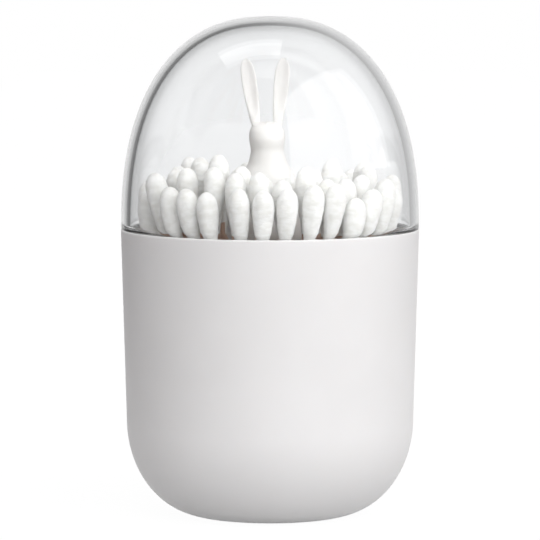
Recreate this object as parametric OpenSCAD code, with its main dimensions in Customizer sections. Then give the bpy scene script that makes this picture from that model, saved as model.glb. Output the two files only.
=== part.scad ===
// Cotton swab box: a white moulded cup, a clear domed lid that lifts off, a raised
// platform with a rabbit figure standing on it, and three rows of swabs round the figure.
// Millimetres, +Z up, origin at the centre of the standing face, front towards -Y.

/* [Cup] */
// Outer radius where the cup meets the lid
rim_r = 40; // [38:0.5:46]
// Height of the rim above the table
cup_h = 77; // [74:0.5:84]
// Thickness of the cup wall
cup_wall = 2; // [1.6:0.1:2.6]
// Thickness of the cup floor
cup_floor = 2.4; // [1.8:0.1:3.2]
// Lean of the wall that lets the cup leave its mould, in degrees
draft = 1.6; // [0.5:0.1:2.5]
// How far the rounded bottom corner reaches in
corner_w = 20.7; // [18:0.1:23]
// How far the rounded bottom corner reaches up
corner_h = 25.7; // [22:0.1:29]
// Radius of the shallow recess inside the standing ring
recess_r = 13; // [9:0.5:14.5]
// Depth of that recess
recess_depth = 0.6; // [0.3:0.1:1]
// Width of the broken edge on the rim
rim_edge = 0.4; // [0.2:0.1:0.7]

/* [Lid] */
// Height of the dome above the rim
dome_h = 57; // [54:0.5:66]
// Fullness of the dome, where 2 is an ellipse and more is squarer
dome_fullness = 2.35; // [2.2:0.05:2.8]
// Thickness of the clear wall
lid_wall = 2.4; // [1.8:0.1:3]
// How far the plug ring reaches down into the cup
plug_depth = 4; // [2.5:0.5:8]
// Thickness of the plug ring
plug_wall = 1.3; // [1:0.1:1.6]
// Play between the plug ring and the cup
plug_play = 0.25; // [0.1:0.05:0.4]
// Height over which the plug ring fades into the dome
plug_fade = 4; // [2:0.5:8]

/* [Platform] */
// Height of the platform's outer edge above the table
deck_edge_z = 13; // [11:0.5:15]
// How much higher the middle of the platform is
deck_rise = 5; // [4:0.5:6]
// Radius of the platform's flat middle
deck_flat_r = 21.5; // [20:0.5:23]
// Thickness of the platform
deck_wall = 1.8; // [1.4:0.1:2.4]
// Play between the platform's edge and the cup
deck_play = 0.3; // [0.1:0.05:0.6]
// Thickness of the skirt that the platform stands on
skirt_wall = 1.6; // [1.2:0.1:2]

/* [Figure] */
// Radius of the figure's round foot
foot_r = 9.8; // [9.2:0.1:10]
// Thickness of the hollow figure's wall at its foot
figure_wall = 1.8; // [1.4:0.1:2.4]
// Width of the rim on the foot that stands on the platform
foot_seat = 1.5; // [1.2:0.1:2]
// How far the foot's spigot reaches through the platform
spigot_depth = 3; // [2.4:0.1:5]
// Play between the spigot and its hole
spigot_play = 0.15; // [0.05:0.05:0.3]
// Height of the haunches above the foot
haunch_z = 57; // [47:1:61]
// Half width of the haunches
haunch_r = 9.7; // [9:0.1:10]
// Height of the neck above the foot
neck_z = 79.8; // [77:0.1:83]
// Half width of the neck
neck_r = 4.5; // [4:0.1:5]
// Height of the head from the neck to its crown
head_h = 8; // [7:0.1:9]
// Half width of the head across its cheeks
cheek_r = 4.85; // [4.5:0.05:6]
// How far the muzzle stands forward of the neck
muzzle = 2; // [1:0.1:3]
// Length of an ear above the line where it parts from the head
ear_len = 18.4; // [14:0.1:20]
// Widest part of an ear
ear_w = 4.1; // [3.4:0.1:4.6]
// Thickness of an ear
ear_t = 1.9; // [1.6:0.1:2.6]
// Depth of the groove down the front of an ear
ear_groove = 1.1; // [0.4:0.1:1.2]
// Lean of each ear away from the middle, in degrees
ear_splay = 6.5; // [3:0.5:9]
// Distance between the middles of the ears where they part from the head
ear_apart = 5.7; // [4.8:0.1:6]
// Height of the crown above that line
crown_rise = 1.3; // [0.5:0.1:2]
// How far the figure leans to its right at the crown
figure_lean = 0.9; // [0:0.1:1.5]

/* [Swabs] */
// Length of a swab
swab_len = 74; // [72:0.5:76]
// Widest part of a cotton bud
bud_d = 5.8; // [5:0.1:6]
// Length of a cotton bud
bud_len = 18; // [15:0.5:20]
// Length of the rounded end of a bud
bud_nose = 4.6; // [3.5:0.1:5.5]
// Diameter of the stick
stick_d = 2.4; // [2:0.1:2.8]
// Thickness of the cotton where it ends on the stick
bud_lip = 0.15; // [0.1:0.05:0.4]
// Play between neighbouring buds
bud_play = 0.4; // [0.35:0.05:0.5]
// Play between the buds and what is round them
row_play = 0.6; // [0.3:0.1:1]
// Play between a bud and the platform
rest_play = 0.25; // [0.1:0.05:0.4]
// How much further in every other foot of the outermost row stands
foot_zigzag = 5; // [4:0.1:5.4]
// Height by which the highest swab is wedged up off the platform
lift_most = 6; // [3:0.5:7]
// How soon a bud falls to its stick, where 1 is an even wave and less stays full for longer
bud_fall = 0.85; // [0.6:0.05:1]

/* [Hidden] */
$fn = 96;
plastic_white = [0.92, 0.92, 0.92];
plastic_clear = [0.90, 0.93, 0.95, 0.35];
cotton_white = [0.97, 0.97, 0.94];
stick_wood = [0.86, 0.70, 0.58];

corner_steps = 18;   // stretches in the rounded corner of the cup
dome_steps = 28;     // stretches from the rim to the crown of the dome
nose_steps = 7;      // stretches in the rounded end of a bud
taper_steps = 8;     // stretches from the widest part of a bud to its stick
figure_sides = 36;   // points round the figure
figure_steps = 4;    // rings between two stations of the figure
seam_points = 5;     // points on the seam over the crown
ear_steps = 16;      // rings along an ear
ear_blend = 0.16;    // share of an ear's length over which it grows out of the head
foot_band = 1;       // height of the straight band at the figure's foot
body_lap = 1;        // how far the upper body reaches down into the lower body
body_inset = 0.3;    // how far inside the lower body's skin it starts
back_shift = 0.2;    // how far the shoulders lie behind the middle of the figure

// Free play between neighbours, from one swab of a row to the next, as relative widths.
// A row starts at the left, runs past the front, and is at its loosest behind the figure.
row_tips = [
    [1, 1, 0, 0, 4, 0, 0, 1, 0, 0, 0, 1, 1, 5, 0, 11, 0, 12, 0, 9, 0, 10, 0, 9, 0, 6],
    [1, 8, 0, 0, 0, 0, 0, 1, 3, 12, 0, 19, 0, 20, 0, 23, 0, 25],
    [4, 3, 0, 0, 3, 3, 30, 0, 42, 0, 38, 23]
];
row_feet = [
    [9, 4, 2, 0, 0, 0, 0, 0, 0, 0, 1, 2, 3, 14, 16, 15, 17, 14, 13, 13, 12, 12, 11, 10, 9, 11],
    [2, 6, 0, 0, 0, 0, 0, 0, 1, 5, 5, 6, 5, 4, 5, 4, 3, 1],
    [2, 1, 0, 0, 1, 2, 6, 8, 8, 8, 6, 5]
];
// How far each swab is wedged up by its neighbours, in tenths of the highest lift
row_lifts = [
    [0, 6, 4, 0, 2, 0, 3, 0.5, 5.5, 2.5, 0, 0, 8, 0, 8, 0, 0, 3, 1, 0, 2, 0, 4, 0, 5, 0],
    [3, 4, 5, 2.5, 3, 0, 5.5, 0, 0, 1, 4, 6, 0, 0, 2, 0, 6, 2.5],
    [6, 10, 5, 0, 0, 3, 7.5, 0, 0, 0, 3, 7]
];
// Compass angle of the first tip of each row, and how far the first foot lies ahead of it
row_start = [195.5, 200, 204];
row_lead = [12, -14, -26];

cup_floor_z = recess_depth + cup_floor;
corner_r = rim_r - tan(draft) * (cup_h - corner_h);   // outer radius at the top of the corner
flat_r = corner_r - corner_w;                         // edge of the standing face
mouth_r = rim_r - cup_wall;                           // inside radius at the rim
plug_r = mouth_r - plug_play;
plug_bore_r = plug_r - plug_wall;
foot_z = deck_edge_z + deck_rise;                     // top of the platform's middle
deck_r = cup_bore_r(deck_edge_z - deck_wall) - deck_play;
deck_slope = atan(deck_rise / (deck_r - deck_flat_r));
spigot_r = foot_r - foot_seat;
socket_r = spigot_r + spigot_play;
crown_z = neck_z + head_h;
ear_root_z = crown_z - crown_rise;                    // line where the ears part from the head
lean_angle = -atan(figure_lean / (crown_z - haunch_z));
bud_pitch = bud_d + bud_play;

// Quarter of a superellipse, from its foot (a, 0) to its crown (0, b), as points
function quarter(a, b, n, steps, first = 0) =
    [for (i = [0 : steps])
        let (u = first + (90 - first) * i / steps)
        i == steps ? [0, b] : [a * pow(cos(u), 2 / n), b * pow(sin(u), 2 / n)]];

// Inside radius of the cup at a height
function cup_bore_r(z) =
    z >= corner_h
        ? rim_r - cup_wall - tan(draft) * (cup_h - z)
        : flat_r + (corner_w - cup_wall)
            * sqrt(max(0, 1 - pow((corner_h - z) / (corner_h - cup_floor_z), 2)));

// Height of the platform's top at a radius
function deck_z(r) = foot_z - tan(deck_slope) * max(0, r - deck_flat_r);

function total(list, n) = n <= 0 ? 0 : list[n - 1] + total(list, n - 1);

// Smallest angle between two buds that stand on circles of these radii
function bud_angle(ra, rb) =
    2 * asin(sqrt(max(0, bud_pitch * bud_pitch - pow(ra - rb, 2)) / (4 * ra * rb)));

// Rows of swabs stand between the figure's foot and the cup, and fan out to the plug ring.
// Every other foot of the outermost row stands further in.
foot_inner = foot_r + row_play + bud_d / 2;
foot_outer = min(deck_r, cup_bore_r(deck_edge_z + bud_nose) - bud_d / 2) - row_play;
foot_near = foot_outer - foot_zigzag;
rows = min(len(row_tips), 1 + floor((foot_near - foot_inner) / bud_pitch));
tip_outer = plug_bore_r - row_play - bud_d / 2;
tip_step = bud_pitch + row_play;
function foot_row_r(row) = foot_near - row * (foot_near - foot_inner) / max(1, rows - 1);
function foot_stand_r(row, k) = row == 0 && k % 2 == 0 ? foot_outer : foot_row_r(row);
function tip_row_r(row) = tip_outer - row * tip_step;
function foot_angle(row) =
    row == 0
        ? max(bud_angle(foot_outer, foot_near), bud_angle(foot_near, foot_near) / 2)
        : bud_angle(foot_row_r(row), foot_row_r(row));
function tip_angle(row) = bud_angle(tip_row_r(row), tip_row_r(row));
function row_count(row) =
    2 * floor(min(len(row_tips[row]), 360 / foot_angle(row), 360 / tip_angle(row)) / 2);

// Compass angle of the k-th swab in a row: buds at their closest, then the free play shared out
function spread(gaps, n, closest, k) =
    k * closest + (360 - n * closest) * total(gaps, k) / total(gaps, n);

// Distance from the centre of a bud's nose to a plane that it touches at an angle
function nose_reach(lean) =
    sqrt(pow(bud_nose * cos(lean), 2) + pow(bud_d / 2 * sin(lean), 2));

function polar(r, angle, z) = [r * cos(angle), r * sin(angle), z];

// Centres of each swab's lower and upper nose
core_len = swab_len - 2 * bud_nose;
swab_places = [
    for (row = [0 : rows - 1])
        let (n = row_count(row))
        for (k = [0 : n - 1])
            let (
                rf = foot_stand_r(row, k),
                slope = rf > deck_flat_r ? deck_slope : 0,
                at_tip = row_start[row] + spread(row_tips[row], n, tip_angle(row), k),
                at_foot = row_start[row] + row_lead[row]
                    + spread(row_feet[row], n, foot_angle(row), k),
                low_z = deck_z(rf) + (nose_reach(slope) + rest_play) / cos(slope)
                    + lift_most * row_lifts[row][k] / 10,
                low = polar(rf, at_foot, low_z),
                across = polar(tip_row_r(row), at_tip, low_z) - low,
                rise = sqrt(pow(core_len, 2) - across * across)
            )
            [low, across + [0, 0, rise]]
];

function swab_name(i) = str("swab_", i < 9 ? "0" : "", i + 1);

module cup_profile() {
    outer = quarter(corner_w, corner_h, 2, corner_steps);
    inner = quarter(corner_w - cup_wall, corner_h - cup_floor_z, 2, corner_steps);
    outside = [for (i = [corner_steps : -1 : 0]) [flat_r + outer[i][0], corner_h - outer[i][1]]];
    inside = [for (p = inner) [flat_r + p[0], corner_h - p[1]]];
    polygon(concat(
        [[0, recess_depth], [recess_r, recess_depth], [recess_r + recess_depth, 0]],
        outside,
        [[rim_r, cup_h - rim_edge], [rim_r - rim_edge, cup_h],
         [mouth_r + rim_edge / 2, cup_h], [mouth_r, cup_h - rim_edge / 2]],
        inside,
        [[0, cup_floor_z]]
    ));
}

module base_cup() {
    color(plastic_white) rotate_extrude() cup_profile();
}

module lid_profile() {
    inner_a = rim_r - lid_wall;
    inner_b = dome_h - lid_wall;
    fade_start = asin(pow(plug_fade / inner_b, dome_fullness / 2));
    inner = quarter(inner_a, inner_b, dome_fullness, dome_steps, fade_start);
    translate([0, cup_h]) polygon(concat(
        [[plug_bore_r, plug_wall / 2 - plug_depth], [plug_bore_r + plug_wall / 2, -plug_depth],
         [plug_r - rim_edge, -plug_depth], [plug_r, rim_edge - plug_depth], [plug_r, 0]],
        quarter(rim_r, dome_h, dome_fullness, dome_steps),
        [for (i = [dome_steps : -1 : 0]) inner[i]]
    ));
}

module dome_lid() {
    color(plastic_clear) rotate_extrude() lid_profile();
}

module platform() {
    color(plastic_white) rotate_extrude() polygon([
        [socket_r, foot_z], [deck_flat_r, foot_z],
        [deck_r - rim_edge, deck_z(deck_r - rim_edge)], [deck_r, deck_z(deck_r) - rim_edge],
        [deck_r, deck_edge_z - deck_wall],
        [deck_flat_r, foot_z - deck_wall], [foot_r + skirt_wall / 2, foot_z - deck_wall],
        [foot_r + skirt_wall / 2, cup_floor_z], [foot_r - skirt_wall / 2, cup_floor_z],
        [foot_r - skirt_wall / 2, foot_z - deck_wall], [socket_r, foot_z - deck_wall]
    ]);
}

// Faces between two rings of the same length, given as lists of point numbers
function skin(low, high) = [
    for (i = [0 : len(low) - 1])
        let (j = (i + 1) % len(low)) each
        [[low[i], high[j], high[i]], [low[i], low[j], high[j]]]
];

function backwards(list) = [for (i = [len(list) - 1 : -1 : 0]) list[i]];

// Catmull-Rom blend between four numbers or vectors
function blend(a, b, c, d, t) =
    0.5 * (2 * b + (c - a) * t + (2 * a - 5 * b + 4 * c - d) * t * t
           + (3 * b - a - 3 * c + d) * t * t * t);

// Stations from the haunches to the ears: height, half width, half depth, shift to the back.
// The first lies a little inside the bell of the lower body.
body_stations = [
    [haunch_z - body_lap, haunch_r - body_inset, haunch_r - body_inset, 0],
    [haunch_z + (neck_z - haunch_z) * 0.42, haunch_r * 0.88, haunch_r * 0.92, back_shift],
    [haunch_z + (neck_z - haunch_z) * 0.68, neck_r * 1.68, neck_r * 1.84, back_shift * 1.5],
    [haunch_z + (neck_z - haunch_z) * 0.85, neck_r * 1.2, neck_r * 1.35, back_shift],
    [neck_z, neck_r, neck_r * 1.08, 0],
    [neck_z + head_h * 0.25, cheek_r * 0.96, cheek_r + muzzle * 0.3, -muzzle * 0.42],
    [neck_z + head_h * 0.46, cheek_r, cheek_r + muzzle * 0.45, -muzzle * 0.5],
    [neck_z + head_h * 0.68, cheek_r * 0.93, cheek_r + muzzle * 0.05, -muzzle * 0.3],
    [ear_root_z, ear_apart / 2 + ear_w * 0.34, cheek_r * 0.72, -muzzle * 0.1]
];

// Sideways shift of the figure at a height above its foot
function lean_at(z) = -figure_lean * max(0, z - haunch_z) / (crown_z - haunch_z);

function body_ring(s) = [
    for (i = [0 : figure_sides - 1])
        let (angle = -360 * i / figure_sides)
        [lean_at(s[0]) + s[1] * cos(angle), s[3] + s[2] * sin(angle), s[0]]
];

body_rings = [
    for (k = [0 : len(body_stations) - 2]) for (j = [0 : figure_steps - 1])
        let (last = len(body_stations) - 1)
        body_ring(blend(body_stations[max(0, k - 1)], body_stations[k],
                        body_stations[k + 1], body_stations[min(last, k + 2)],
                        j / figure_steps)),
    body_ring(body_stations[len(body_stations) - 1])
];

// The last ring of the head is parted from back to front by a seam over the crown
parting_ring = body_rings[len(body_rings) - 1];
front_point = figure_sides / 4;
back_point = figure_sides * 3 / 4;
seam = [for (i = [1 : seam_points])
    let (t = i / (seam_points + 1))
    parting_ring[back_point] * (1 - t) + parting_ring[front_point] * t
        + [0, 0, crown_rise * sin(180 * t)]];
half_points = back_point - front_point + 1;
ear_sides = half_points + seam_points;

// Root of an ear: half of the head's last ring, closed along the seam. Side is -1 or 1.
function ear_root(side) = concat(
    [for (i = [0 : half_points - 1])
        parting_ring[((side < 0 ? front_point : back_point) + i) % figure_sides]],
    side < 0 ? seam : backwards(seam)
);

// Point of an upright ear, at a share t of its length and at an angle round it:
// a flat oval with a rounded tip, hollowed down its front
function ear_point(t, angle) =
    let (
        half = ear_w / 2 * (0.68 + 0.32 * sin(min(90, 120 * t)))
            * sqrt(max(0.02, 1 - pow(max(0, t - 0.72) / 0.28, 2.4))),
        deep = ear_t / 2 * (1.1 - 0.35 * t) * sqrt(max(0.04, 1 - pow(max(0, t - 0.8) / 0.2, 2))),
        hollow = min(ear_groove, 1.15 * deep) * sin(min(90, 260 * max(0, t - 0.1)))
    )
    [half * cos(angle), deep * sin(angle) + hollow * pow(max(0, -sin(angle)), 3), ear_len * t];

function turned(p, angle) =
    [p[0] * cos(angle) + p[2] * sin(angle), p[1], p[2] * cos(angle) - p[0] * sin(angle)];

// Ring of a splayed ear, which grows out of its root on the head
function ear_ring(side, t) =
    let (grown = sin(min(90, 90 * t / ear_blend)), root = ear_root(side))
    [for (i = [0 : ear_sides - 1])
        let (angle = (side < 0 ? -45 : 135) - 360 * i / ear_sides)
        root[i] * (1 - grown) + grown * (
            [side * ear_apart / 2 + lean_at(ear_root_z), back_shift * 1.5, ear_root_z]
            + turned(ear_point(t, angle), side * ear_splay + lean_angle))];

function ear_rings(side) =
    [for (k = [1 : ear_steps]) ear_ring(side, 1 - pow(1 - k / ear_steps, 1.35))];

// Faces of an ear: from its root's points on the head up to a flat cap at its tip
function ear_faces(side, root_ids, first) =
    let (rings = concat([root_ids],
        [for (k = [0 : ear_steps - 1]) [for (i = [0 : ear_sides - 1]) first + k * ear_sides + i]]))
    concat([for (k = [0 : ear_steps - 1]) each skin(rings[k], rings[k + 1])], [rings[ear_steps]]);

module upper_body() {
    ring_ids = [for (k = [0 : len(body_rings) - 1])
        [for (i = [0 : figure_sides - 1]) k * figure_sides + i]];
    last = len(body_rings) - 1;
    seam_first = len(body_rings) * figure_sides;
    seam_ids = [for (i = [0 : seam_points - 1]) seam_first + i];
    left_root = concat([for (i = [0 : half_points - 1]) ring_ids[last][front_point + i]],
                       seam_ids);
    right_root = concat([for (i = [0 : half_points - 1])
                            ring_ids[last][(back_point + i) % figure_sides]],
                        backwards(seam_ids));
    left_first = seam_first + seam_points;
    polyhedron(
        points = concat([for (ring = body_rings) each ring], seam,
                        [for (side = [-1, 1]) for (ring = ear_rings(side)) each ring]),
        faces = concat([backwards(ring_ids[0])],
                       [for (k = [0 : last - 1]) each skin(ring_ids[k], ring_ids[k + 1])],
                       ear_faces(-1, left_root, left_first),
                       ear_faces(1, right_root, left_first + ear_steps * ear_sides))
    );
}

// Hollow bell from the spigot to the haunches
module lower_body() {
    rotate_extrude() polygon([
        [spigot_r - figure_wall, -spigot_depth], [spigot_r, -spigot_depth], [spigot_r, 0],
        [foot_r, 0], [foot_r, foot_band], [haunch_r, haunch_z], [0, haunch_z],
        [0, haunch_z - 2 * figure_wall], [haunch_r - 1.5 * figure_wall, haunch_z - 3 * figure_wall],
        [spigot_r - figure_wall, 0]
    ]);
}

module bunny_figure() {
    color(cotton_white) translate([0, 0, foot_z]) {
        lower_body();
        upper_body();
    }
}

// One bud with the centre of its nose at the origin and its tip towards -Z
module bud() {
    neck_r0 = stick_d / 2 + bud_lip;
    taper = bud_len - bud_nose;
    nose = quarter(bud_d / 2, bud_nose, 2, nose_steps);
    rotate_extrude() polygon(concat(
        [for (i = [nose_steps : -1 : 1]) [nose[i][0], -nose[i][1]]],
        [for (i = [0 : taper_steps])
            [neck_r0 + (bud_d / 2 - neck_r0) * pow((1 + cos(180 * i / taper_steps)) / 2, bud_fall),
             taper * i / taper_steps]],
        [[0, taper]]
    ));
}

module swab(place) {
    along = place[1];
    translate(place[0])
        rotate([0, acos(along[2] / core_len), atan2(along[1], along[0])]) {
            color(cotton_white) {
                bud();
                translate([0, 0, core_len]) mirror([0, 0, 1]) bud();
            }
            color(stick_wood) cylinder(h = core_len, r = stick_d / 2);
        }
}

base_cup();
dome_lid();
platform();
bunny_figure();
for (i = [0 : len(swab_places) - 1])
    swab(swab_places[i]);
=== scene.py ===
"""Cotton swab box: finished surfaces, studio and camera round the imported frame.

A white moulded cup holds three rings of cotton swabs round a plain rabbit figure, under a
clear domed lid. Meshes are in metres, in the row frame, while dataclass fields that end in
_mm are millimetres. Every surface is worked out with numpy on a grid or along a profile.
"""
import logging
import math
from dataclasses import dataclass
from enum import Enum
from typing import Sequence, Union

import bpy
import numpy as np
from mathutils import Matrix, Vector


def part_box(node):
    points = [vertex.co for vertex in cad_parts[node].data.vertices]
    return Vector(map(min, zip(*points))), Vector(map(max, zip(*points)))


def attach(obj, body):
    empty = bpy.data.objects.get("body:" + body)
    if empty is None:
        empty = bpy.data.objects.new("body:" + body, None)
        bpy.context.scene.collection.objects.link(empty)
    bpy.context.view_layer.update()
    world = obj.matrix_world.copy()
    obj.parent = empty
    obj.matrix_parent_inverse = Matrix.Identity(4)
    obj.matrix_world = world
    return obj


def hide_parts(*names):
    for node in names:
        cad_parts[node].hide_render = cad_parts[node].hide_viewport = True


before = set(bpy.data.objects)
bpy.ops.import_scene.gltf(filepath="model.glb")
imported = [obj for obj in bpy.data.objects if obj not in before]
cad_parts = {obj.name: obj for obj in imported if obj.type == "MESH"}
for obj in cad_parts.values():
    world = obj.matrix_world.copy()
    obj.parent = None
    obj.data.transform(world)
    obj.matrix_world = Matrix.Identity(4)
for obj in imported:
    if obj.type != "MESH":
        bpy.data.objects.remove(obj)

MM = 0.001
SPACING = 1.5 * MM  # longest side along the outline of a turned piece
END_SPAN = 12.0 * MM  # stretch of a swab's end that gives its middle
log = logging.getLogger("swab_box")

Colour = tuple[float, float, float]
Number = Union[float, "Socket"]


class Body(Enum):
    """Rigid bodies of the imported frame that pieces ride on."""

    BASE = "base"
    LID = "lid"


class Slot(Enum):
    """Material slots of the record."""

    WHITE_PLASTIC = "white_plastic"
    CLEAR_PLASTIC = "clear_plastic"
    FIGURE = "figure_plastic"
    COTTON = "cotton"
    STICK = "swab_stick"


# Shader expressions


class Socket:
    """A value in a shader. Arithmetic on it adds Math nodes to the same graph."""

    def __init__(self, graph: "Graph", output: bpy.types.NodeSocket) -> None:
        """Wrap one output of a node."""
        self.graph = graph
        self.output = output

    def _math(self, operation: str, first: Number, second: Number) -> "Socket":
        """Return a Math node's result for two values or links."""
        return self.graph.node("ShaderNodeMath", {"operation": operation},
                               {0: first, 1: second})

    def __add__(self, other: Number) -> "Socket":
        """Return self + other."""
        return self._math("ADD", self, other)

    __radd__ = __add__

    def __sub__(self, other: Number) -> "Socket":
        """Return self - other."""
        return self._math("SUBTRACT", self, other)

    def __rsub__(self, other: Number) -> "Socket":
        """Return other - self."""
        return self._math("SUBTRACT", other, self)

    def __mul__(self, other: Number) -> "Socket":
        """Return self * other."""
        return self._math("MULTIPLY", self, other)

    __rmul__ = __mul__


class Graph:
    """The node tree of one material or of the world, empty at first."""

    def __init__(self, owner: Union[bpy.types.Material, bpy.types.World]) -> None:
        """Clear the owner's nodes and keep its tree."""
        owner.use_nodes = True
        self.tree = owner.node_tree
        self.tree.nodes.clear()

    def node(self, kind: str, settings: dict | None = None, inputs: dict | None = None,
             output: int | str = 0) -> Socket:
        """Add a node.

        Args:
            kind: Blender's type name of the node.
            settings: the node's own properties, set before its sockets. The key stops holds
                a colour ramp's stops as (position, grey) pairs.
            inputs: values or links of its sockets, by name or number.
            output: which output to return.

        Returns:
            The chosen output, wrapped.
        """
        made = self.tree.nodes.new(kind)
        for name, value in (settings or {}).items():
            if name == "stops":
                for element, (place, grey) in zip(made.color_ramp.elements, value):
                    element.position = place
                    element.color = (grey, grey, grey, 1.0)
            else:
                setattr(made, name, value)
        for name, value in (inputs or {}).items():
            if isinstance(value, Socket):
                self.tree.links.new(value.output, made.inputs[name])
            else:
                made.inputs[name].default_value = value
        return Socket(self, made.outputs[output])

    def object_place(self) -> Socket:
        """Return the Object coordinates, which are the row frame in metres."""
        return self.node("ShaderNodeTexCoord", output="Object")

    def attribute(self, name: str) -> Socket:
        """Return the vector of the mesh attribute with this name."""
        return self.node("ShaderNodeAttribute", {"attribute_name": name}, output="Vector")

    def stretched(self, place: Socket, scale: Sequence[float], turn_deg: float = 0.0) -> Socket:
        """Return a place turned about its X axis and then scaled on each axis."""
        return self.node("ShaderNodeMapping", None, {
            "Vector": place, "Rotation": (math.radians(turn_deg), 0.0, 0.0),
            "Scale": tuple(scale)})

    def noise(self, place: Socket, scale: float, detail: float = 2.0) -> Socket:
        """Return noise from 0 to 1 at a place."""
        return self.node("ShaderNodeTexNoise", None,
                         {"Vector": place, "Scale": scale, "Detail": detail})

    def ramp(self, value: Socket, low: float, high: float) -> Socket:
        """Return 0 below low, 1 above high and a smooth rise between them."""
        return self.node("ShaderNodeMapRange", {"interpolation_type": "SMOOTHSTEP"},
                         {"Value": value, "From Min": low, "From Max": high})

    def mix_colours(self, share: Number, first: Union[Colour, Socket],
                    second: Union[Colour, Socket]) -> Socket:
        """Return the first colour at share 0 and the second at share 1."""
        ends = {6: first, 7: second}
        inputs = {k: v if isinstance(v, Socket) else (*v, 1.0) for k, v in ends.items()}
        return self.node("ShaderNodeMix", {"data_type": "RGBA"}, {0: share, **inputs}, output=2)

    def bump(self, height: Socket, depth: float, strength: float = 1.0) -> Socket:
        """Return a normal for a height from 0 to 1 that spans this depth in metres."""
        return self.node("ShaderNodeBump", None,
                         {"Height": height, "Distance": depth, "Strength": strength})

    def end(self, kind: str, shader: Socket) -> None:
        """End the tree in an output node of this kind, fed by a shader."""
        self.tree.links.new(shader.output, self.tree.nodes.new(kind).inputs["Surface"])

    def surface(self, inputs: dict) -> None:
        """End a material in one Principled shader with these sockets."""
        self.end("ShaderNodeOutputMaterial", self.node("ShaderNodeBsdfPrincipled", None, inputs))


def new_material(name: str) -> tuple[bpy.types.Material, Graph]:
    """Return a new material and its empty graph."""
    material = bpy.data.materials.new(name)
    return material, Graph(material)


# Finishes


@dataclass(frozen=True)
class MouldedPlastic:
    """White plastic from a polished or a grained mould.

    The surface has a fine even grain, and its gloss and tone drift a little, as plastic
    does that has cooled at different speeds.
    """

    name: str
    colour: Colour
    dull_colour: Colour
    roughness: float
    roughness_drift: float
    grain_mm: float
    grain_depth_mm: float
    glow_mm: float

    def material(self) -> bpy.types.Material:
        """Build the material."""
        material, g = new_material(self.name)
        place = g.object_place()
        drift = g.noise(place, 1.0 / (22.0 * MM), 2.0)
        grain = g.noise(place, 1.0 / (self.grain_mm * MM), 1.0)
        g.surface({
            "Base Color": g.mix_colours(g.ramp(drift, 0.3, 0.7), self.dull_colour, self.colour),
            "Roughness": (drift * self.roughness_drift
                          + (self.roughness - self.roughness_drift / 2)),
            "Normal": g.bump(grain, self.grain_depth_mm * MM),
            "IOR": 1.49,
            "Subsurface Weight": 0.25,
            "Subsurface Radius": (1.0, 0.95, 0.9),
            "Subsurface Scale": self.glow_mm * MM,
        })
        return material


@dataclass(frozen=True)
class ClearPlastic:
    """Clear polished plastic of the dome, with a faint flow mark in its gloss.

    The plug ring, which lies below the rim, is frosted as its mould leaves it. The frost
    begins over frost_edge_mm.
    """

    name: str
    colour: Colour
    ior: float
    roughness: float
    frost: float
    rim_height: float
    frost_edge_mm: float = 0.6

    def material(self) -> bpy.types.Material:
        """Build the material."""
        material, g = new_material(self.name)
        place = g.object_place()
        flow = g.noise(g.stretched(place, (1.0, 1.0, 0.25)), 1.0 / (9.0 * MM), 2.0)
        height = Socket(g, g.node("ShaderNodeSeparateXYZ", None,
                                  {"Vector": place}).output.node.outputs["Z"])
        polished = g.ramp(height, self.rim_height - self.frost_edge_mm * MM, self.rim_height)
        g.surface({
            "Base Color": (*self.colour, 1.0),
            "Roughness": (g.ramp(flow, 0.45, 0.75) * self.roughness
                          + self.frost * (1.0 - polished)),
            "IOR": self.ior,
            "Transmission Weight": 1.0,
        })
        return material


@dataclass(frozen=True)
class WoundCotton:
    """Bleached cotton wound on a stick in crossing layers of fine fibres.

    Two noises, drawn out round the bud and tipped opposite ways, are the fibres of the two
    winding directions. A coarser noise gives the soft lumps between the windings. The low
    parts of fibres and lumps are painted a greyer colour, a painted shade in their hollows.
    """

    name: str
    colour: Colour
    hollow_shade_colour: Colour
    fibre_mm: float
    fibre_depth_mm: float
    lump_mm: float
    tip_deg: float

    def material(self) -> bpy.types.Material:
        """Build the material."""
        material, g = new_material(self.name)
        place = g.attribute("swab_place")
        drawn = (0.12, 0.12, 1.0)
        fineness = 1.0 / (self.fibre_mm * MM)
        fibres = 0.5 * (g.noise(g.stretched(place, drawn, self.tip_deg), fineness, 2.0)
                        + g.noise(g.stretched(place, drawn, -self.tip_deg), fineness, 2.0))
        lumps = g.noise(g.stretched(place, (0.6, 0.6, 1.0)), 1.0 / (self.lump_mm * MM), 3.0)
        height = 0.4 * fibres + 0.6 * lumps
        g.surface({
            # painted shade: the low parts of fibres and lumps take the darker hollow shade
            # colour
            "Base Color": g.mix_colours(g.ramp(height, 0.36, 0.6), self.hollow_shade_colour,
                                        self.colour),
            "Roughness": 1.0 - 0.1 * fibres,
            "Normal": g.bump(height, self.fibre_depth_mm * MM),
            "Specular IOR Level": 0.15,
            "Sheen Weight": 0.35,
            "Sheen Roughness": 0.6,
            "Subsurface Weight": 0.5,
            "Subsurface Radius": (1.0, 0.97, 0.93),
            "Subsurface Scale": 1.2 * MM,
        })
        return material


@dataclass(frozen=True)
class BirchStick:
    """Pale turned wood with long fine pores along the stick."""

    name: str
    colour: Colour
    pore_colour: Colour

    def material(self) -> bpy.types.Material:
        """Build the material."""
        material, g = new_material(self.name)
        along = g.stretched(g.attribute("swab_place"), (1.0, 1.0, 0.04))
        grain = g.noise(along, 1.0 / (0.35 * MM), 3.0)
        g.surface({
            "Base Color": g.mix_colours(g.ramp(grain, 0.35, 0.65), self.pore_colour,
                                        self.colour),
            "Roughness": 0.75 - 0.15 * grain,
            "Normal": g.bump(grain, 0.05 * MM),
        })
        return material


# Meshes


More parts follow.
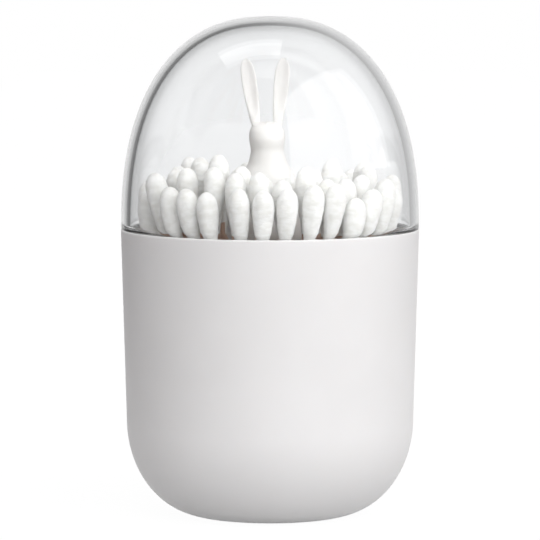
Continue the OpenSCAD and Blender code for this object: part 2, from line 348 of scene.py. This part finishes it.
def superellipse_quarter(a: float, b: float, power: float, count: int,
                         first: float = 0.0) -> np.ndarray:
    """Points from (a, 0) to (0, b) on a superellipse.

    A point at angle t is a times cos t to the power 2 / n, and b times sin t to the power
    2 / n, so that (x / a) ** n + (y / b) ** n is 1.

    Args:
        a: half width.
        b: height.
        power: the n of the formula. 2 is an ellipse and more is squarer.
        count: how many points.
        first: angle of the first point, in radians.

    Returns:
        An array of count rows of x, y.
    """
    t = np.linspace(first, math.pi / 2, count)
    cosine = np.clip(np.cos(t), 0.0, 1.0)
    cosine[-1] = 0.0
    return np.stack([a * cosine ** (2 / power), b * np.sin(t) ** (2 / power)], axis=1)


def rounded(points: Sequence[Sequence[float]], radius: float, count: int = 5) -> np.ndarray:
    """Open outline through the points, with its inner corners cut by curves.

    Each inner corner becomes a quadratic curve from a point that lies radius before it to
    one that lies radius after it, or less where a side is short.

    Args:
        points: corners as x, y.
        radius: how far from the corner a curve begins.
        count: points on each curve.

    Returns:
        An array of rows of x, y.
    """
    p = np.asarray(points, float)
    corner, before, after = p[1:-1], p[:-2] - p[1:-1], p[2:] - p[1:-1]
    reach_before = np.minimum(radius, np.linalg.norm(before, axis=1) * 0.45)
    reach_after = np.minimum(radius, np.linalg.norm(after, axis=1) * 0.45)
    start = corner + before * (reach_before / np.linalg.norm(before, axis=1))[:, None]
    end = corner + after * (reach_after / np.linalg.norm(after, axis=1))[:, None]
    t = np.linspace(0.0, 1.0, count)[None, :, None]
    curves = ((1 - t) ** 2 * start[:, None] + 2 * t * (1 - t) * corner[:, None]
              + t ** 2 * end[:, None])
    return np.concatenate([p[:1], curves.reshape(-1, 2), p[-1:]])


def spaced(outline: np.ndarray, step: float) -> np.ndarray:
    """Fill the long stretches of an outline so that no two points lie over step apart."""
    lengths = np.linalg.norm(np.diff(outline, axis=0), axis=1)
    parts = np.maximum(1, np.ceil(lengths / step)).astype(int)
    span = np.repeat(np.arange(len(parts)), parts)
    share = (np.arange(parts.sum()) - np.repeat(np.cumsum(parts) - parts, parts)) / parts[span]
    filled = outline[span] + (outline[span + 1] - outline[span]) * share[:, None]
    return np.concatenate([filled, outline[-1:]])


def band(low: np.ndarray, high: np.ndarray) -> np.ndarray:
    """Quads between closed rings of point numbers, outward when rings run clockwise."""
    return np.stack([low, high, np.roll(high, -1, axis=-1), np.roll(low, -1, axis=-1)], axis=-1)


def grid_faces(rings: int, sides: int, first: int = 0) -> np.ndarray:
    """Quads of a tube of rings, where a ring holds its point numbers in order from first."""
    ids = first + np.arange(rings * sides).reshape(rings, sides)
    return band(ids[:-1], ids[1:]).reshape(-1, 4)


def fan(pole: int, ring: np.ndarray, pole_above: bool) -> np.ndarray:
    """Triangles from a pole to a ring that runs clockwise, seen from above."""
    after = np.roll(ring, -1)
    poles = np.full(len(ring), pole)
    sides = (ring, poles, after) if pole_above else (after, poles, ring)
    return np.stack(sides, axis=-1)


def add_piece(name: str, points: np.ndarray, faces: Sequence[np.ndarray],
              material: bpy.types.Material, sharp_deg: float | None = None) -> bpy.types.Object:
    """Make a smooth shaded object at the origin.

    Args:
        name: the piece's name.
        points: rows of x, y, z in metres.
        faces: arrays of triangles, quads or larger faces, as point numbers.
        material: its only material.
        sharp_deg: edges that turn by more than this stay sharp.

    Returns:
        The new object, linked to the scene.
    """
    mesh = bpy.data.meshes.new(name)
    mesh.from_pydata(points.tolist(), [], [face for block in faces for face in block.tolist()])
    mesh.shade_smooth()
    if sharp_deg is not None:
        mesh.set_sharp_from_angle(angle=math.radians(sharp_deg))
    mesh.materials.append(material)
    piece = bpy.data.objects.new(name, mesh)
    bpy.context.scene.collection.objects.link(piece)
    return piece


def revolve(name: str, outline: np.ndarray, sides: int,
            material: bpy.types.Material) -> bpy.types.Object:
    """Turn an outline of r, z about the Z axis into a closed solid.

    The outline starts and ends on the axis and keeps the solid on its right hand, so a
    point at r, z and angle u lies at r cos u, r sin u, z, with u running clockwise.

    Args:
        name: the piece's name.
        outline: rows of r, z in metres.
        sides: points round a ring.
        material: its material.

    Returns:
        The new object.
    """
    u = -2 * math.pi * np.arange(sides) / sides
    middle = outline[1:-1]
    rings = np.stack([middle[:, :1] * np.cos(u), middle[:, :1] * np.sin(u),
                      np.broadcast_to(middle[:, 1:], (len(middle), sides))], axis=-1)
    points = np.concatenate([rings.reshape(-1, 3),
                             [[0.0, 0.0, outline[0, 1]], [0.0, 0.0, outline[-1, 1]]]])
    last = (len(middle) - 1) * sides
    ring = np.arange(sides)
    faces = [grid_faces(len(middle), sides),
             fan(len(points) - 2, ring, pole_above=False),
             fan(len(points) - 1, ring + last, pole_above=True)]
    return add_piece(name, points, faces, material)


def seat_piece(piece: bpy.types.Object, body: Body, slot: Slot, *nodes: str) -> None:
    """Let a piece ride on its body and stand for the CAD nodes named."""
    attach(piece, body.value)
    if nodes:
        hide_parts(*nodes)
    log.info("%s: %d faces on %s", piece.name, len(piece.data.polygons), body.value)


# The box


@dataclass
class Cup:
    """The white cup: a tapered wall on a rounded foot, moulded in one piece."""

    rim_radius: float
    height: float
    wall_mm: float = 2.0
    floor_mm: float = 2.4
    draft_deg: float = 1.6
    corner_width_mm: float = 20.7
    corner_height_mm: float = 25.7
    recess_radius_mm: float = 13.0
    recess_depth_mm: float = 0.6
    edge_mm: float = 0.4
    sides: int = 240

    def outline(self) -> np.ndarray:
        """Return the section from under the floor, up the outside and down the inside.

        The foot's corner is a quarter ellipse, and the wall leans by the draft.
        """
        wall, floor = self.wall_mm * MM, (self.recess_depth_mm + self.floor_mm) * MM
        width, rise = self.corner_width_mm * MM, self.corner_height_mm * MM
        lean = math.tan(math.radians(self.draft_deg))
        flat = self.rim_radius - lean * (self.height - rise) - width
        recess, depth = self.recess_radius_mm * MM, self.recess_depth_mm * MM
        edge, mouth = self.edge_mm * MM, self.rim_radius - wall
        outer = superellipse_quarter(width, rise, 2.0, 48)[::-1]
        inner = superellipse_quarter(width - wall, rise - floor, 2.0, 48)
        under = rounded([[0.0, depth], [recess, depth], [recess + depth, 0.0],
                         [flat, 0.0]], depth)
        rim = rounded([[self.rim_radius - lean * edge * 4, self.height - edge * 4],
                       [self.rim_radius, self.height], [mouth, self.height],
                       [mouth - lean * edge * 4, self.height - edge * 4]], edge)
        section = np.concatenate([
            under, np.stack([flat + outer[1:, 0], rise - outer[1:, 1]], axis=1), rim,
            np.stack([flat + inner[:, 0], rise - inner[:, 1]], axis=1), [[0.0, floor]]])
        return spaced(section, SPACING)

    def build(self, finish: MouldedPlastic) -> None:
        """Make the cup and put it in the place of its CAD node."""
        cup = revolve("cup", self.outline(), self.sides, finish.material())
        seat_piece(cup, Body.BASE, Slot.WHITE_PLASTIC, "base_cup")


@dataclass
class DomeLid:
    """The clear dome: an even shell with a plug ring that drops inside the cup's rim."""

    rim_radius: float
    rim_height: float
    height: float
    fullness: float = 2.35
    wall_mm: float = 2.4
    plug_radius_mm: float = 37.75
    plug_wall_mm: float = 1.3
    plug_depth_mm: float = 4.0
    plug_step_mm: float = 0.3
    edge_mm: float = 0.25
    sides: int = 224

    def outline(self) -> np.ndarray:
        """Return the section from the crown inside, down to the plug and up the outside.

        Inside, the dome ends in a small step above the rim, where the plug ring begins.
        """
        wall, step = self.wall_mm * MM, self.plug_step_mm * MM
        inner_height = self.height - wall
        first = math.asin((step / inner_height) ** (self.fullness / 2))
        inner = superellipse_quarter(self.rim_radius - wall, inner_height, self.fullness, 110,
                                     first)[::-1]
        outer = superellipse_quarter(self.rim_radius, self.height, self.fullness, 120)
        plug, edge = self.plug_radius_mm * MM, self.edge_mm * MM
        bore, depth = plug - self.plug_wall_mm * MM, self.plug_depth_mm * MM
        foot = rounded([inner[-1], [bore, -self.plug_wall_mm * MM / 2],
                        [bore + self.plug_wall_mm * MM / 2, -depth], [plug, -depth],
                        [plug, 0.0], [self.rim_radius, 0.0], outer[3]], edge)
        section = np.concatenate([inner, foot[1:-1], outer[3:]])
        return spaced(section, SPACING) + [0.0, self.rim_height]

    def build(self, finish: ClearPlastic) -> None:
        """Make the dome. It throws no shadow, so that lamps reach what is inside."""
        dome = revolve("dome", self.outline(), self.sides, finish.material())
        dome.visible_shadow = False
        seat_piece(dome, Body.LID, Slot.CLEAR_PLASTIC, "dome_lid")


@dataclass
class Rabbit:
    """The rabbit figure: one skin from the foot over the head, parted into two ears."""

    foot_height: float
    foot_radius_mm: float = 9.8
    haunch_height_mm: float = 57.0
    haunch_radius_mm: float = 9.7
    neck_height_mm: float = 79.8
    neck_radius_mm: float = 4.5
    head_mm: float = 8.0
    cheek_radius_mm: float = 4.85
    muzzle_mm: float = 1.3
    crown_rise_mm: float = 1.3
    ear_length_mm: float = 18.4
    ear_width_mm: float = 4.1
    ear_thickness_mm: float = 1.9
    ear_groove_mm: float = 1.1
    ear_apart_mm: float = 5.7
    ear_splay_deg: float = 7.1
    ear_back_mm: float = 0.9
    lean_mm: float = 0.9
    ear_blend: float = 0.05
    sides: int = 36
    steps: int = 4
    seam_points: int = 5
    cap_steps: int = 4
    ear_steps: int = 16

    @property
    def crown_mm(self) -> float:
        """Height of the crown above the foot."""
        return self.neck_height_mm + self.head_mm

    @property
    def parting_mm(self) -> float:
        """Height of the line where the ears part from the head."""
        return self.crown_mm - self.crown_rise_mm

    def stations(self) -> np.ndarray:
        """Return rows of height, half width, half depth and shift to the back."""
        foot = self.foot_radius_mm
        haunch, haunch_z = self.haunch_radius_mm, self.haunch_height_mm
        neck, neck_z, head = self.neck_radius_mm, self.neck_height_mm, self.head_mm
        cheek, muzzle, rise = self.cheek_radius_mm, self.muzzle_mm, neck_z - haunch_z
        return np.array([
            [0.0, foot, foot, 0.0],
            [1.0, foot, foot, 0.0],
            [haunch_z * 0.5, (foot + haunch) / 2, (foot + haunch) / 2, 0.0],
            [haunch_z, haunch, haunch, 0.0],
            [haunch_z + rise * 0.42, haunch * 0.88, haunch * 0.92, 0.2],
            [haunch_z + rise * 0.68, neck * 1.68, neck * 1.84, 0.3],
            [haunch_z + rise * 0.85, neck * 1.2, neck * 1.35, 0.2],
            [neck_z, neck, neck * 1.16, -0.1],
            [neck_z + head * 0.25, cheek * 0.97, cheek + muzzle * 0.3, -muzzle * 0.42],
            [neck_z + head * 0.46, cheek, cheek + muzzle * 0.4, -muzzle * 0.5],
            [neck_z + head * 0.68, cheek * 0.955, cheek + muzzle * 0.1, -muzzle * 0.4],
            [self.parting_mm, self.ear_apart_mm / 2 + self.ear_width_mm * 0.29, cheek * 0.8,
             -muzzle * 0.25]])

    def lean_at(self, height_mm: np.ndarray) -> np.ndarray:
        """Return the sideways shift, which grows evenly from the haunches to the crown."""
        share = (height_mm - self.haunch_height_mm) / (self.crown_mm - self.haunch_height_mm)
        return -self.lean_mm * np.maximum(0.0, share)

    def body_rings(self) -> np.ndarray:
        """Return rings x points x 3, in millimetres above the foot.

        The stations are joined by a Catmull-Rom spline, and a ring is an ellipse at its
        station, run through clockwise.
        """
        known = self.stations()
        padded = np.concatenate([known[:1], known, known[-1:]])
        t = (np.arange(self.steps) / self.steps)[None, :, None]
        a, b, c, d = (padded[i:len(padded) - 3 + i, None, :] for i in range(4))
        spans = 0.5 * (2 * b + (c - a) * t + (2 * a - 5 * b + 4 * c - d) * t ** 2
                       + (3 * b - a - 3 * c + d) * t ** 3)
        height, width, depth, back = np.concatenate([spans.reshape(-1, 4), known[-1:]]).T
        u = -2 * math.pi * np.arange(self.sides) / self.sides
        return np.stack([self.lean_at(height)[:, None] + width[:, None] * np.cos(u),
                         back[:, None] + depth[:, None] * np.sin(u),
                         np.broadcast_to(height[:, None], (len(height), self.sides))], axis=-1)

    def seam(self, ring: np.ndarray) -> np.ndarray:
        """Return the points from back to front over the crown, raised as half a sine wave."""
        t = np.arange(1, self.seam_points + 1)[:, None] / (self.seam_points + 1)
        back, front = ring[self.sides * 3 // 4], ring[self.sides // 4]
        lift = np.array([[0.0, 0.0, self.crown_rise_mm]])
        return back * (1 - t) + front * t + lift * np.sin(math.pi * t)

    def ear_rings(self, side: int, root: np.ndarray) -> np.ndarray:
        """Return the rings of one ear above its root.

        A ring is a flat oval, hollowed at its front by the cube of the sine of its angle.
        Its width grows as a sine from 58 percent of the full one, and rounds off over the
        last 28 percent of the ear, its thickness over the last 20. The groove deepens as a
        sine, from 10 percent of the ear on. The rings lean away from the middle by the
        splay, and the first of them grow out of the root. On the way a point gains height
        as the square root of its way from the head's edge, and as the square of its way
        from the seam, so that the crown is round and has no ridge.

        Args:
            side: -1 for the ear at -X and 1 for the other.
            root: the ear's own ring on the head.

        Returns:
            Rings x points x 3, in millimetres above the foot.
        """
        cap = np.arange(1, self.cap_steps + 1) / self.cap_steps
        upright = (1 - np.cos(math.pi * np.arange(1, self.ear_steps + 1) / self.ear_steps)) / 2
        t = np.concatenate([self.ear_blend * cap,
                            self.ear_blend + (1 - self.ear_blend) * upright])[:, None]
        start = -math.pi / 4 if side < 0 else math.pi * 3 / 4
        u = (start - 2 * math.pi * np.arange(len(root)) / len(root))[None, :]
        quarter = math.pi / 2
        half = (self.ear_width_mm / 2 * (0.58 + 0.42 * np.sin(np.minimum(quarter, t * 2.44)))
                * np.sqrt(np.maximum(0.02, 1 - (np.maximum(0, t - 0.72) / 0.28) ** 2.4)))
        deep = (self.ear_thickness_mm / 2 * (1.1 - 0.35 * t)
                * np.sqrt(np.maximum(0.04, 1 - (np.maximum(0, t - 0.8) / 0.2) ** 2)))
        hollow = (np.minimum(self.ear_groove_mm, 1.15 * deep)
                  * np.sin(np.minimum(quarter, 4.54 * np.maximum(0, t - 0.1))))
        x = half * np.cos(u)
        z = np.broadcast_to(self.ear_length_mm * np.maximum(t, self.ear_blend), x.shape)
        y = deep * np.sin(u) + hollow * np.maximum(0, -np.sin(u)) ** 3
        lean = math.atan(self.lean_mm / (self.crown_mm - self.haunch_height_mm))
        tilt = side * math.radians(self.ear_splay_deg) - lean
        foot = [side * self.ear_apart_mm / 2 + float(self.lean_at(np.array(self.parting_mm))),
                self.ear_back_mm, self.parting_mm]
        ear = np.stack([x * math.cos(tilt) + z * math.sin(tilt), y,
                        z * math.cos(tilt) - x * math.sin(tilt)], axis=-1) + foot
        grown = np.broadcast_to(1 - np.cos(np.minimum(quarter, quarter * t / self.ear_blend)),
                                x.shape)
        power = np.where(np.arange(len(root)) > self.sides // 2, 2.0, 0.5)
        share = np.stack([grown, grown, grown ** power], axis=-1)
        return root * (1 - share) + ear * share

    def build(self, finish: MouldedPlastic) -> None:
        """Make the skin, subdivide it and put it in the place of its CAD node."""
        rings = self.body_rings()
        ids = np.arange(len(rings) * self.sides).reshape(len(rings), self.sides)
        front, back, half = self.sides // 4, self.sides * 3 // 4, self.sides // 2 + 1
        seam = self.seam(rings[-1])
        seam_ids = ids[-1, -1] + 1 + np.arange(self.seam_points)
        points, faces = [rings.reshape(-1, 3), seam], [grid_faces(len(rings), self.sides)]
        first = seam_ids[-1] + 1
        for side, begin, across in ((-1, front, slice(None)), (1, back, slice(None, None, -1))):
            around = (begin + np.arange(half)) % self.sides
            root = np.concatenate([rings[-1][around], seam[across]])
            root_ids = np.concatenate([ids[-1][around], seam_ids[across]])
            ear = self.ear_rings(side, root)
            ear_ids = first + np.arange(ear.shape[0] * ear.shape[1]).reshape(ear.shape[:2])
            points += [ear.reshape(-1, 3)]
            faces += [band(root_ids, ear_ids[0]), grid_faces(*ear.shape[:2], first),
                      ear_ids[-1:]]
            first += ear_ids.size
        faces += [ids[:1, ::-1]]
        place = np.concatenate(points) * MM + [0.0, 0.0, self.foot_height]
        rabbit = add_piece("rabbit", place, faces, finish.material())
        smooth = rabbit.modifiers.new("smooth", "SUBSURF")
        smooth.levels = smooth.render_levels = 2
        seat_piece(rabbit, Body.BASE, Slot.FIGURE, "bunny_figure")


@dataclass
class SwabAxis:
    """Where one swab stands, read from its CAD node."""

    low: np.ndarray
    high: np.ndarray

    @classmethod
    def of_node(cls, node: bpy.types.Object) -> "SwabAxis":
        """Fit an axis to a node's points.

        The axis runs through the middles of the two ends, found in three rounds as the
        mean of the points that lie within END_SPAN of an end. It reaches as far as they do.
        """
        flat = np.empty(len(node.data.vertices) * 3)
        node.data.vertices.foreach_get("co", flat)
        points = np.unique(np.round(flat.reshape(-1, 3), 6), axis=0)
        middle = (points.max(axis=0) + points.min(axis=0)) / 2
        top, foot = points[points[:, 2].argmax()], points[points[:, 2].argmin()]
        along = (top - foot) / np.linalg.norm(top - foot)
        for _ in range(3):
            reach = (points - middle) @ along
            high = points[reach > reach.max() - END_SPAN]
            low = points[reach < reach.min() + END_SPAN]
            middle = (high.mean(axis=0) + low.mean(axis=0)) / 2
            along = high.mean(axis=0) - low.mean(axis=0)
            along /= np.linalg.norm(along)
        reach = (points - middle) @ along
        return cls(middle + along * reach.min(), middle + along * reach.max())

    def frame(self) -> np.ndarray:
        """Return rows of two directions across the swab and one along it."""
        along = (self.high - self.low) / np.linalg.norm(self.high - self.low)
        across = np.cross([0.0, 1.0, 0.0], along)
        across /= np.linalg.norm(across)
        return np.stack([across, np.cross(along, across), along])


@dataclass
class Swabs:
    """All swabs: on each stick two wound buds, every one a little different."""

    bud_mm: float = 5.8
    bud_length_mm: float = 18.0
    bud_fall: float = 0.85
    nose_mm: float = 4.6
    stick_mm: float = 2.4
    lip_mm: float = 0.15
    lump: float = 0.035
    smooth_tip_mm: float = 3.0
    bud_sides: int = 32
    nose_rings: int = 10
    taper_rings: int = 18
    stick_sides: int = 16
    stick_rings: int = 7
    seed: int = 7

    def bud_profile(self) -> np.ndarray:
        """Return rows of r and distance from the tip, in millimetres.

        The nose is a quarter ellipse, and the rest falls to the stick as half a cosine to
        the power bud_fall, which keeps it full for longer.
        """
        widest, lip = self.bud_mm / 2, self.stick_mm / 2 + self.lip_mm
        nose = superellipse_quarter(widest, self.nose_mm, 2.0, self.nose_rings + 1)[::-1]
        t = np.linspace(0.0, 1.0, self.taper_rings + 1)[1:]
        fall = np.maximum(0.0, (1 + np.cos(math.pi * t)) / 2) ** self.bud_fall
        taper = np.stack([lip + (widest - lip) * fall,
                          self.nose_mm + (self.bud_length_mm - self.nose_mm) * t], axis=1)
        return np.concatenate([
            np.stack([nose[1:, 0], self.nose_mm - nose[1:, 1]], axis=1), taper,
            [[self.stick_mm * 0.46, self.bud_length_mm + 0.1]]])

    def bud(self, chance: np.random.Generator) -> np.ndarray:
        """Return rings x points x 3 of one bud, its tip at the origin, along +Z.

        The radius is pulled in by waves that run round the bud two to five times and creep
        along it as the cotton was wound. They fade out over the first smooth_tip_mm, and
        the bud never stands out past the plain profile.
        """
        r, z = self.bud_profile().T[:, :, None]
        u = -2 * math.pi * np.arange(self.bud_sides)[None, :] / self.bud_sides
        waves = sum(
            weight * np.sin(turns * u + chance.uniform(0, 6.28) + chance.uniform(-0.5, 0.5) * z)
            for turns, weight in ((2, 0.5), (3, 0.3), (5, 0.2)))
        ripple = 0.35 * np.sin(z * chance.uniform(1.5, 2.4) + u + chance.uniform(0, 6.28))
        depth = self.lump * np.minimum(1.0, z / self.smooth_tip_mm)
        scale = 1 - depth * (1 + waves + ripple)
        return np.stack([r * scale * np.cos(u), r * scale * np.sin(u),
                         np.broadcast_to(z, (len(r), self.bud_sides))], axis=-1)

    def place(self, name: str, local: np.ndarray, faces: list[np.ndarray], axis: SwabAxis,
              material: bpy.types.Material) -> bpy.types.Object:
        """Make a piece from points along +Z of a swab's low tip, in millimetres.

        Its attribute swab_place holds those points in metres, shifted by an amount of the
        swab's own, so that no two swabs show the same fibres.
        """
        piece = add_piece(name, (local * MM) @ axis.frame() + axis.low, faces, material, 60.0)
        spread = piece.data.attributes.new("swab_place", "FLOAT_VECTOR", "POINT")
        spread.data.foreach_set("vector", (local * MM + axis.low[::-1]).ravel())
        return piece

    def closed_bud(self, rings: np.ndarray, first: int) -> list[np.ndarray]:
        """Return the faces of a bud whose tip is closed by its pole and whose end is flat."""
        count, sides = rings.shape[:2]
        ids = first + 1 + np.arange(count * sides).reshape(count, sides)
        return [fan(first, ids[0], pole_above=False), grid_faces(count, sides, first + 1),
                ids[-1:]]

    def add_cotton(self, name: str, axis: SwabAxis, chance: np.random.Generator,
                   material: bpy.types.Material) -> bpy.types.Object:
        """Make both buds of one swab as one piece."""
        length = np.linalg.norm(axis.high - axis.low) / MM
        low, high = self.bud(chance), self.bud(chance)
        mirrored = high[:, ::-1] * [1.0, 1.0, -1.0] + [0.0, 0.0, length]
        tips = np.array([[0.0, 0.0, 0.0], [0.0, 0.0, length]])
        points = np.concatenate([tips[:1], low.reshape(-1, 3),
                                 tips[1:], mirrored.reshape(-1, 3)])
        upper = [face[:, ::-1] for face in self.closed_bud(high[:, ::-1], 1 + low.size // 3)]
        faces = self.closed_bud(low, 0) + upper
        return self.place(name, points, faces, axis, material)

    def add_stick(self, name: str, axis: SwabAxis,
                  material: bpy.types.Material) -> bpy.types.Object:
        """Make one stick, whose ends lie inside the buds."""
        length = np.linalg.norm(axis.high - axis.low) / MM
        z = np.linspace(self.nose_mm, length - self.nose_mm, self.stick_rings)[:, None]
        u = -2 * math.pi * np.arange(self.stick_sides)[None, :] / self.stick_sides
        rings = np.stack(np.broadcast_arrays(self.stick_mm / 2 * np.cos(u),
                                             self.stick_mm / 2 * np.sin(u), z), axis=-1)
        ids = np.arange(rings.size // 3).reshape(rings.shape[:2])
        faces = [grid_faces(*rings.shape[:2]), ids[:1, ::-1], ids[-1:]]
        return self.place(name, rings.reshape(-1, 3), faces, axis, material)

    def build(self, cotton: WoundCotton, wood: BirchStick) -> None:
        """Make a cotton piece and a stick for each swab's CAD node."""
        cotton_material, wood_material = cotton.material(), wood.material()
        chance = np.random.default_rng(self.seed)
        for node in sorted(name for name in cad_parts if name.startswith("swab_")):
            axis = SwabAxis.of_node(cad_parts[node])
            buds = self.add_cotton(f"{node}_cotton", axis, chance, cotton_material)
            seat_piece(buds, Body.BASE, Slot.COTTON, node)
            stick = self.add_stick(f"{node}_stick", axis, wood_material)
            seat_piece(stick, Body.BASE, Slot.STICK, node)


# Studio


def compass(azimuth_deg: float, elevation_deg: float) -> Vector:
    """Return a direction. Azimuth 0 is the camera's side and 90 is +X."""
    azimuth, elevation = math.radians(azimuth_deg), math.radians(elevation_deg)
    return Vector((math.sin(azimuth) * math.cos(elevation),
                   -math.cos(azimuth) * math.cos(elevation), math.sin(elevation)))


@dataclass
class Softbox:
    """A soft rectangular lamp, aimed at a point from a compass angle and a height."""

    name: str
    azimuth_deg: float
    elevation_deg: float
    distance: float
    width: float
    height: float
    radiance: float
    colour: Colour = (1.0, 1.0, 1.0)
    target: Colour = (0.0, 0.0, 0.09)

    def build(self) -> None:
        """Make the lamp at its distance from the target, with its face towards it."""
        away = compass(self.azimuth_deg, self.elevation_deg)
        lamp = bpy.data.lights.new(self.name, "AREA")
        lamp.shape, lamp.size, lamp.size_y = "RECTANGLE", self.width, self.height
        lamp.energy = self.radiance * math.pi * self.width * self.height
        lamp.color = self.colour
        holder = bpy.data.objects.new(self.name, lamp)
        holder.matrix_world = (Matrix.Translation(Vector(self.target) + away * self.distance)
                               @ away.to_track_quat("Z", "Y").to_matrix().to_4x4())
        bpy.context.scene.collection.objects.link(holder)


@dataclass
class Studio:
    """White sweep, soft lamps and the darker room at the sides that glass picks up."""

    ambient: float = 0.24
    front_light: float = 1.53
    front_azimuth_deg: float = 13.0
    front_elevation_deg: float = 30.0
    room_left: float = 0.16
    room_right: float = 0.5
    sweep_deg: float = 23.0
    sweep_edge_deg: float = 8.0
    sweep_middle_deg: float = 8.0
    sweep_side: float = 0.72
    shade_colour: Colour = (1.0, 0.95, 0.96)
    floor_width: float = 0.5
    floor_depth: float = 6.0
    floor_albedo: float = 0.53
    floor_glow: float = 0.9
    floor_strength: float = 1.08

    @staticmethod
    def seen(g: Graph) -> Socket:
        """Return 1 for rays that the eye follows, straight or through glass and gloss."""
        def path(name: str) -> Socket:
            return g.node("ShaderNodeLightPath", output=name)
        direct = g.node("ShaderNodeClamp", None, {
            "Value": (path("Is Camera Ray") + path("Is Glossy Ray")
                      + path("Is Transmission Ray"))})
        scattered = g.node("ShaderNodeClamp", None, {"Value": path("Diffuse Depth")})
        return direct * (1.0 - scattered)

    def build_world(self) -> None:
        """Light the scene softly, and show glass a white sweep in a darker room.

        The direction of a ray gives what it meets: the sweep within some degrees of +Y,
        brightest in its middle, and elsewhere the room, which is darker at -X than at +X.
        Matt surfaces gather an even, faintly warm light and a broad white one from the
        front, which fades out at 60 degrees from its middle.
        """
        world = bpy.data.worlds.new("studio")
        bpy.context.scene.world = world
        g = Graph(world)
        direction = g.node("ShaderNodeTexCoord", output="Generated")
        parts = g.node("ShaderNodeSeparateXYZ", None, {"Vector": direction}).output.node
        facing = g.node("ShaderNodeVectorMath", {"operation": "DOT_PRODUCT"},
                        {0: direction, 1: compass(self.front_azimuth_deg,
                                                  self.front_elevation_deg)}, "Value")
        ahead, side = Socket(g, parts.outputs["Y"]), Socket(g, parts.outputs["X"])
        sweep = g.ramp(ahead, math.cos(math.radians(self.sweep_deg + self.sweep_edge_deg)),
                       math.cos(math.radians(self.sweep_deg)))
        room = self.room_left + (self.room_right - self.room_left) * g.ramp(side, -0.2, 0.4)
        middle = g.ramp(ahead, math.cos(math.radians(2 * self.sweep_middle_deg)),
                        math.cos(math.radians(self.sweep_middle_deg)))
        white = self.sweep_side + (1.0 - self.sweep_side) * middle
        shown = room * (1.0 - sweep) + white * sweep
        camera = g.node("ShaderNodeLightPath", output="Is Camera Ray")
        shown = shown * (1.0 - camera) + camera
        front = g.ramp(facing, 0.5, 1.0)
        ambient = self.ambient + self.front_light * front
        seen = self.seen(g)
        strength = shown * seen + ambient * (1.0 - seen)
        whiteness = g.node("ShaderNodeClamp", None, {"Value": front + seen})
        light = g.node("ShaderNodeBackground", None, {
            "Color": g.mix_colours(whiteness, self.shade_colour, (1.0, 1.0, 1.0)),
            "Strength": strength})
        g.end("ShaderNodeOutputWorld", light)

    def build_floor(self) -> None:
        """Lay the white floor, a strip that glows for the eye and keeps a faint shadow."""
        material, g = new_material("white_sweep")
        matt = g.node("ShaderNodeBsdfDiffuse", None,
                      {"Color": (self.floor_albedo, self.floor_albedo, self.floor_albedo, 1.0)})
        glow = g.node("ShaderNodeEmission", None,
                      {"Color": (1.0, 1.0, 1.0, 1.0), "Strength": self.floor_strength})
        shader = g.node("ShaderNodeMixShader", None,
                        {0: self.seen(g) * self.floor_glow, 1: matt, 2: glow})
        g.end("ShaderNodeOutputMaterial", shader)
        corners = np.array([[-1, -1, 0], [1, -1, 0], [1, 1, 0], [-1, 1, 0]])
        corners = corners * [self.floor_width / 2, self.floor_depth / 2, 0.0]
        add_piece("floor", corners, [np.array([[0, 1, 2, 3]])], material)

    def build(self, lamps: Sequence[Softbox]) -> None:
        """Make the world, the floor and the lamps."""
        self.build_world()
        self.build_floor()
        for lamp in lamps:
            lamp.build()
            log.info("lamp %s", lamp.name)


@dataclass
class PhotoCamera:
    """The photograph's camera, fitted to the outline of the box."""

    distance_mm: float = 1075.0
    height_mm: float = 161.4
    pitch_deg: float = 5.081
    focal_px: float = 4017.0
    image_px: float = 540.0
    sensor_mm: float = 36.0

    def build(self) -> None:
        """Make the camera, level from side to side and pitched down at the box."""
        lens = bpy.data.cameras.new("photo_camera")
        lens.sensor_width = self.sensor_mm
        lens.lens = self.sensor_mm * self.focal_px / self.image_px
        camera = bpy.data.objects.new("photo_camera", lens)
        camera.location = (0.0, -self.distance_mm * MM, self.height_mm * MM)
        camera.rotation_euler = (math.radians(90.0 - self.pitch_deg), 0.0, 0.0)
        bpy.context.scene.collection.objects.link(camera)
        bpy.context.scene.camera = camera


def main() -> None:
    """Build the box, the studio and the camera."""
    logging.basicConfig(level=logging.INFO, format="%(name)s: %(message)s")
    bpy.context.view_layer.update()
    bpy.context.scene.view_settings.view_transform = "Standard"

    cup_box, lid_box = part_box("base_cup"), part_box("dome_lid")
    figure_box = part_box("bunny_figure")
    rim_radius, rim_height = cup_box[1][0], cup_box[1][2]
    satin = MouldedPlastic("satin_white_plastic", (0.87, 0.865, 0.865), (0.85, 0.845, 0.845),
                           0.42, 0.08, 0.35, 0.004, 1.5)
    matt = MouldedPlastic("matt_figure_plastic", (0.88, 0.87, 0.845), (0.86, 0.85, 0.825),
                          0.55, 0.06, 0.25, 0.006, 1.0)
    clear = ClearPlastic("clear_dome_plastic", (0.985, 0.99, 0.995), 1.49, 0.03, 0.4,
                         rim_height)
    # the second colour is the painted shade in the hollows of the cotton
    cotton = WoundCotton("wound_cotton", (0.915, 0.92, 0.9), (0.82, 0.82, 0.785),
                         0.22, 0.3, 1.3, 18.0)
    birch = BirchStick("birch_stick", (0.72, 0.50, 0.38), (0.58, 0.37, 0.27))

    Cup(rim_radius, rim_height).build(satin)
    DomeLid(rim_radius, rim_height, lid_box[1][2] - rim_height).build(clear)
    spigot_depth = 3.0 * MM
    Rabbit(figure_box[0][2] + spigot_depth).build(matt)
    Swabs().build(cotton, birch)
    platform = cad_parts["platform"]
    platform.data.materials.clear()
    platform.data.materials.append(satin.material())

    Studio().build([
        Softbox("key_softbox", 60.0, 0.0, 0.62, 1.3, 0.87, 1.15, target=(0.031, 0.054, 0.632)),
        Softbox("top_softbox", 180.0, 84.0, 0.55, 0.36, 0.2, 1.2, target=(-0.12, 0.0, 0.09)),
    ])
    PhotoCamera().build()


if __name__ == "__main__":
    main()
